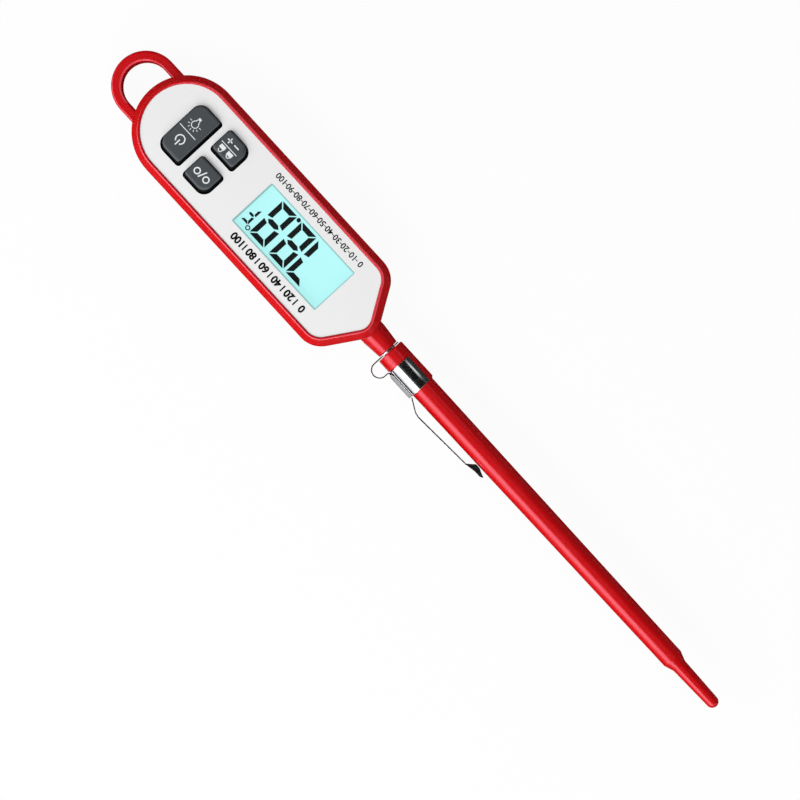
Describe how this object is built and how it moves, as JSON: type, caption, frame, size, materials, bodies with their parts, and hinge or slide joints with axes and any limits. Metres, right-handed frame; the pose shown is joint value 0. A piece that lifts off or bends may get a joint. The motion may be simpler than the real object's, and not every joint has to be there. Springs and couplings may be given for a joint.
{
  "type": "soil thermometer probe",
  "caption": "Digital pen thermometer for soil: red moulded handle with display and keys, thin steel probe, slide-off sheath with a spring pocket clip.",
  "frame": {"origin": "middle of the bounding box at its underside, on the plane that the back of the handle rests on", "axes": "+X along the probe towards its tip, +Y across the handle away from the pocket clip, +Z out of the display"},
  "size_m": [0.243, 0.0308, 0.0158],
  "materials": {
    "red_shell": "glossy moulded",
    "grey_rubber": "matt",
    "screw_steel": "plated",
    "white_plate": "satin",
    "clear_window": "clear polished",
    "lcd_glass": "backlit pale cyan",
    "clear_acrylic": "clear polished",
    "led_body": "moulded",
    "zebra_rubber": "matt",
    "board_green": "solder mask",
    "chip_black": "moulded",
    "key_slate": "fine matt",
    "contact_brass": "plated",
    "black_rubber": "matt",
    "steel": "drawn and polished",
    "wire_red": "insulation",
    "spring_steel": "bright plated strip"
  },
  "bodies": {
    "handle": {"rear_case": "red_shell", "front_bezel": "red_shell", "case_gasket": "grey_rubber", "case_screws": "screw_steel", "faceplate": "white_plate", "lcd_window": "clear_window", "lcd_panel": "lcd_glass", "light_guide": "clear_acrylic", "backlight_leds": "led_body", "zebra_connector": "zebra_rubber", "circuit_board": "board_green", "board_components": "chip_black", "keypad_mat": "grey_rubber", "snap_domes": "screw_steel", "button_cell": "screw_steel", "cell_contact_plus": "contact_brass", "cell_contact_minus": "contact_brass", "probe_stem": "steel", "stem_seal": "black_rubber", "thermistor": "chip_black", "sensor_leads": "wire_red"},
    "power_button": {"power_key": "key_slate"},
    "lock_button": {"lock_key": "key_slate"},
    "unit_button": {"unit_key": "key_slate"},
    "sheath": {"sheath_tube": "red_shell", "clip_band": "spring_steel"},
    "clip_spring_arm": {"clip_arm": "spring_steel"},
    "door_lift": {"door_seal": "black_rubber"},
    "battery_cover": {"battery_door": "red_shell"}
  },
  "joints": [
    {"name": "power_press", "type": "slide", "parent": "handle", "child": "power_button", "axis": [0, 0, -1], "range_m": [0, 0.0006], "stiffness_N_per_m": 800},
    {"name": "lock_press", "type": "slide", "parent": "handle", "child": "lock_button", "axis": [0, 0, -1], "range_m": [0, 0.0006], "stiffness_N_per_m": 800},
    {"name": "unit_press", "type": "slide", "parent": "handle", "child": "unit_button", "axis": [0, 0, -1], "range_m": [0, 0.0006], "stiffness_N_per_m": 800},
    {"name": "sheath_pull", "type": "slide", "parent": "handle", "child": "sheath", "axis": [1, 0, 0], "range_m": [0, 0.14]},
    {"name": "clip_flex", "type": "hinge", "parent": "sheath", "child": "clip_spring_arm", "pos_m": [0.00161, -0.00432, 0.008], "axis": [0, 0, -1], "range_deg": [0, 6], "stiffness_Nm_per_rad": 0.4},
    {"name": "door_pull", "type": "slide", "parent": "handle", "child": "door_lift", "axis": [0, 0, -1], "range_m": [0, 0.02]},
    {"name": "door_turn", "type": "hinge", "parent": "door_lift", "child": "battery_cover", "pos_m": [-0.0861, 0, 0.001], "axis": [0, 0, -1], "range_deg": [0, 90]}
  ]
}
